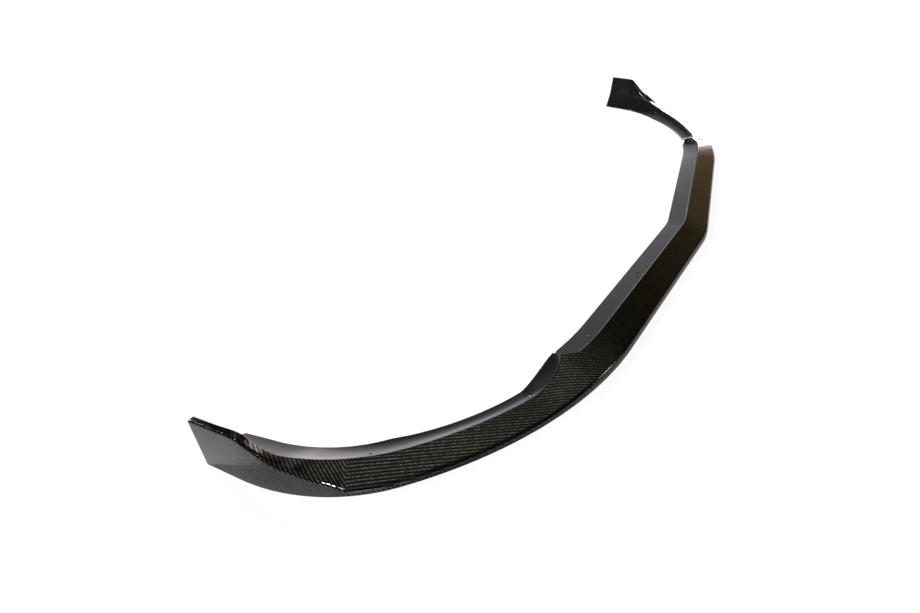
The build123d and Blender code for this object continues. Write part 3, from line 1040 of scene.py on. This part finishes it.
def white_floor():
    """Pale floor: white in the picture but for the lip's soft shadow, dimmer where mirrored."""
    material, bench = new_material("white_floor")
    plain = bench.add("ShaderNodeBsdfDiffuse", {"Color": FLOOR_COLOUR})
    place = bench.add("ShaderNodeTexCoord", out="Object")
    reach = bench.vector("LENGTH", place, out="Value")
    glow = bench.mapped(reach, GLOW_REACH, (FLOOR_GLOW, FULL_GLOW))
    path = bench.add("ShaderNodeLightPath").node
    shown = bench.math("MAXIMUM", path.outputs["Is Glossy Ray"],
                       path.outputs["Is Transmission Ray"])
    in_gloss = glowing(bench, GLOSS_FLOOR_SHADE, GLOSS_TINT, GLOSS_FLOOR_GLOW)
    mixed = bench.add("ShaderNodeMixShader", {0: shown, 1: plain, 2: in_gloss})
    mixed = bench.add("ShaderNodeMixShader", {
        0: path.outputs["Is Camera Ray"], 1: mixed, 2: glowing(bench, FLOOR_SHADE, WHITE, glow)})
    bench.add("ShaderNodeOutputMaterial", {"Surface": mixed})
    corners = []
    for x, y in ((-1, -1), (1, -1), (1, 1), (-1, 1)):
        corners.append((x * FLOOR_HALF, y * FLOOR_HALF, -FLOOR_DROP))
    mesh = bpy.data.meshes.new("floor")
    mesh.from_pydata(corners, [], [(0, 1, 2, 3)])
    mesh.materials.append(material)
    floor = linked("floor", mesh)


def sky_ramp(bench, height, stops):
    """Colour of the studio at each height above the horizon, from (degrees, colour) stops."""
    ramp = bench.add("ShaderNodeValToRGB", {"Fac": height}).node
    elements = ramp.color_ramp.elements
    elements.remove(elements[1])
    for number, (degrees, colour) in enumerate(stops):
        place = sin(radians(degrees))
        element = elements[0] if number == 0 else elements.new(place)
        element.position = place
        element.color = (*colour, 1)
    return ramp.outputs[0]


def studio_world():
    """Dim studio with a white horizon, dark behind the camera; the camera itself sees all white."""
    world = bpy.data.worlds.new("studio")
    world.use_nodes = True
    world.node_tree.nodes.clear()
    bench = Bench(world.node_tree)
    x, y, height = bench.parts(bench.add("ShaderNodeTexCoord", out="Generated"))
    colour = sky_ramp(bench, height, RIGHT_SKY)
    for stops, way, span in (
            (LEFT_SKY, y, LEFT_FROM_Y), (REAR_SKY, y, REAR_FROM_Y), (BACK_SKY, x, BACK_FROM_X)):
        colour = bench.blended(bench.mapped(way, span), colour, sky_ramp(bench, height, stops))
    around = bench.add("ShaderNodeBackground", {"Color": colour, "Strength": 1.0})
    white = bench.add("ShaderNodeBackground", {"Color": WHITE, "Strength": 1.0})
    camera_ray = bench.add("ShaderNodeLightPath", out="Is Camera Ray")
    mixed = bench.add("ShaderNodeMixShader", {0: camera_ray, 1: around, 2: white})
    bench.add("ShaderNodeOutputWorld", {"Surface": mixed})
    bpy.context.scene.world = world


def lamp_place(azimuth, elevation, distance):
    """A place at a direction from the lip, azimuth from +X towards +Y."""
    level = rect(distance * cos(radians(elevation)), radians(azimuth))
    return Vector((level.real, level.imag, distance * sin(radians(elevation))))


def aimed(name, data, place, way):
    """A lamp or camera at a place, turned to look one way."""
    holder = linked(name, data)
    holder.location = place
    holder.rotation_euler = way.to_track_quat("-Z", "Y").to_euler()
    return holder


def soft_lamp(name, place, target, size, power):
    lamp = bpy.data.lights.new(name, "AREA")
    lamp.shape = "RECTANGLE"
    lamp.size, lamp.size_y = size
    lamp.energy = power
    aimed(name, lamp, place, Vector(target) - Vector(place))


def spot_lamp(name, place, target, radius, cone, power):
    """A small lamp whose cone lights only what lies round its target."""
    lamp = bpy.data.lights.new(name, "SPOT")
    lamp.shadow_soft_size = radius
    lamp.spot_size = cone
    lamp.spot_blend = SPOT_BLEND
    lamp.energy = power
    aimed(name, lamp, place, Vector(target) - Vector(place))


def photo_camera():
    camera = bpy.data.cameras.new("photo_camera")
    camera.lens = LENS
    camera.sensor_width = SENSOR_WIDTH
    bpy.context.scene.camera = aimed("photo_camera", camera, EYE, LOOK)


bpy.context.scene.view_settings.view_transform = "Standard"
photo_camera()
white_floor()
studio_world()
soft_lamp("key_lamp", lamp_place(azimuth=97, elevation=38, distance=2.6), target=MIDDLE,
          size=(0.5, 0.5), power=85.0)
soft_lamp("glint_lamp", lamp_place(azimuth=-61, elevation=28, distance=3.0), target=NEAR_WING,
          size=(0.25, 0.25), power=8.0)
spot_lamp("rim_spot", lamp_place(azimuth=137, elevation=24, distance=2.6), target=NEAR_RIM,
          radius=0.25, cone=radians(18), power=40.0)
soft_lamp("far_strip", FAR_STRIP_PLACE, target=FAR_WING, size=(0.53, 0.3), power=1.6)
for azimuth in ROOT_AZIMUTHS:
    spot_lamp("root_spot", FIN_ROOT + lamp_place(azimuth, elevation=34, distance=1.2),
              target=FIN_ROOT, radius=0.06, cone=radians(5), power=24.0)
for target in FLOOR_BEHIND_WING:
    spot_lamp("floor_spot", Vector(target) + lamp_place(azimuth=-170, elevation=62, distance=1.8),
              target=target, radius=0.1, cone=radians(9), power=95.0)

lip = make_lip()
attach(lip, "root")
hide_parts("splitter_lip")
